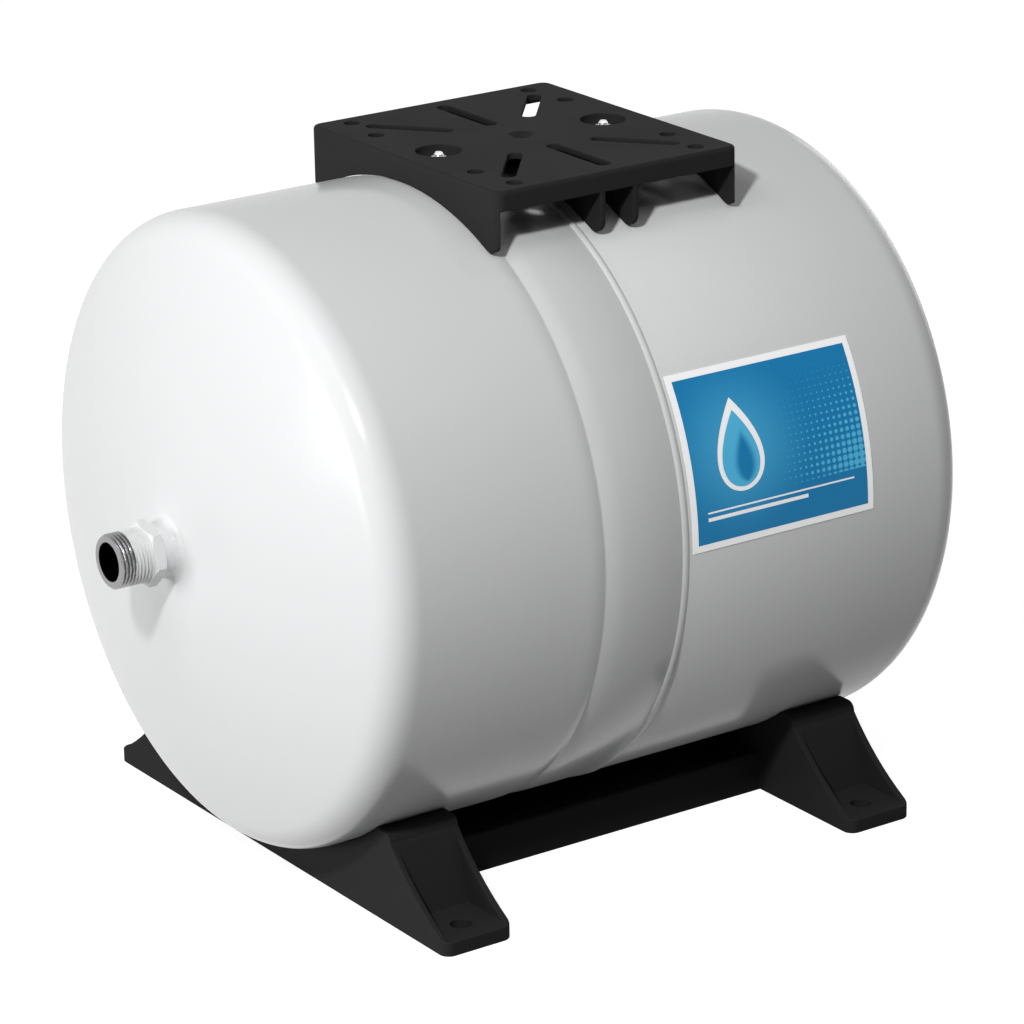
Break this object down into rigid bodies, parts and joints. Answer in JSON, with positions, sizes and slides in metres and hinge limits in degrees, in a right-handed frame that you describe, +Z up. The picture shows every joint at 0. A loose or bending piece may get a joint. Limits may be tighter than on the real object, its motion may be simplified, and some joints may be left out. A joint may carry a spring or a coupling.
{
  "type": "well pressure tank",
  "caption": "Horizontal diaphragm pressure tank for a well or booster pump, with a threaded inlet, a moulded base and a slotted pump platform on top.",
  "frame": {"origin": "centre of the rectangle of the four foot bolt holes, on the floor", "axes": "+X along the tank from the inlet to the charging valve, +Z up, label on the -Y side"},
  "size_m": [0.5507, 0.3918, 0.4233],
  "materials": {
    "tank_paint": "satin white powder coat",
    "stainless": "turned stainless steel",
    "zinc": "bright zinc plate",
    "ring_steel": "plain rolled steel",
    "black_moulding": "fine grained black polypropylene",
    "black_cap": "smooth black",
    "liner": "smooth dark polypropylene",
    "butyl": "moulded black rubber",
    "seal": "smooth black rubber",
    "brass": "turned brass",
    "label_film": "printed vinyl, blue with a white border"
  },
  "bodies": {
    "root": {"front_shell": "tank_paint", "rear_shell": "tank_paint", "girth_weld": "tank_paint", "inlet_nipple": "stainless", "inlet_weld": "tank_paint", "water_liner": "liner", "neck_seal_outer": "seal", "neck_seal_inner": "seal", "diaphragm": "butyl", "clench_ring": "ring_steel", "air_valve_boss": "tank_paint", "air_valve_body": "brass", "air_valve_seal": "seal", "air_valve_core": "brass", "air_valve_cap": "black_cap", "valve_cover": "black_cap", "label": "label_film", "pump_platform": "black_moulding", "base": "black_moulding", "platform_front_stud": "zinc", "platform_front_washer": "zinc", "platform_front_nut": "zinc", "platform_rear_stud": "zinc", "platform_rear_washer": "zinc", "platform_rear_nut": "zinc", "base_front_stud": "zinc", "base_front_washer": "zinc", "base_front_nut": "zinc", "base_rear_stud": "zinc", "base_rear_washer": "zinc", "base_rear_nut": "zinc"}
  },
  "joints": []
}
